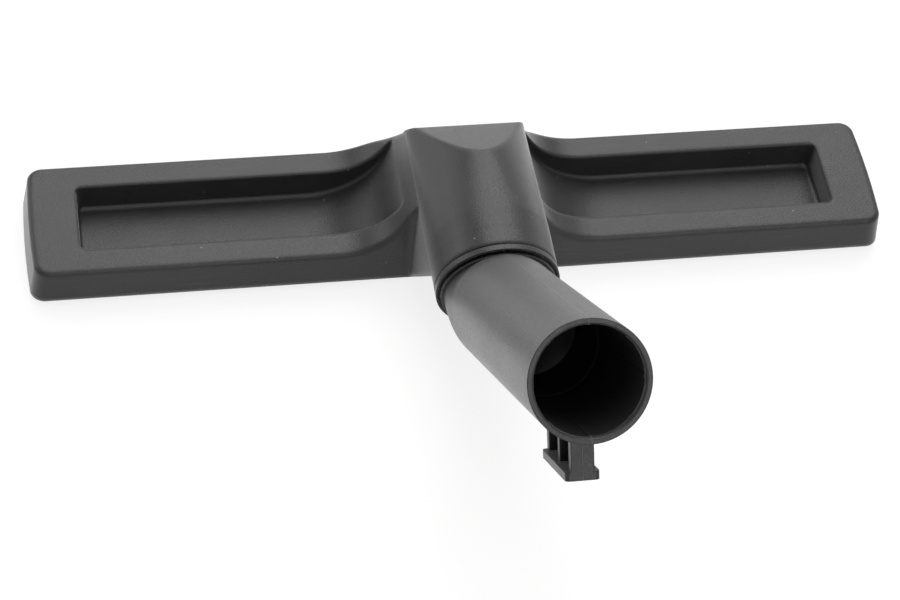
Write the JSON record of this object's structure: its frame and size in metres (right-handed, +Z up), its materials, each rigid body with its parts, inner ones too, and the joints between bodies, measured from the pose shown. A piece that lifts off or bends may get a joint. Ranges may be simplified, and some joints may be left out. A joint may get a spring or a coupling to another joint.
{
  "type": "wet vacuum floor nozzle",
  "caption": "Wide wet-suction floor nozzle: shallow bar with sunk wing pockets, arched neck with a flat rear facet, swivel elbow with a round wand socket and a T-shaped parking hook.",
  "frame": {"origin": "on the floor, midway between the two lips and midway along the head", "axes": "+X along the head, +Y away from the user and the wand, +Z up"},
  "size_m": [0.325, 0.2083, 0.15],
  "materials": {
    "moulded_plastic": "fine satin mould texture, black",
    "lip_rubber": "smooth matt black rubber"
  },
  "bodies": {
    "head": {"nozzle_body": "moulded_plastic", "retaining_ring": "moulded_plastic", "front_lip": "lip_rubber", "rear_lip": "lip_rubber"},
    "elbow": {"swivel_elbow": "moulded_plastic"}
  },
  "joints": [
    {"name": "elbow_swivel", "type": "hinge", "parent": "head", "child": "elbow", "pos_m": [0, -0.0624, 0.0454], "axis": [0, 1, 0], "range_deg": [-90, 90]}
  ]
}
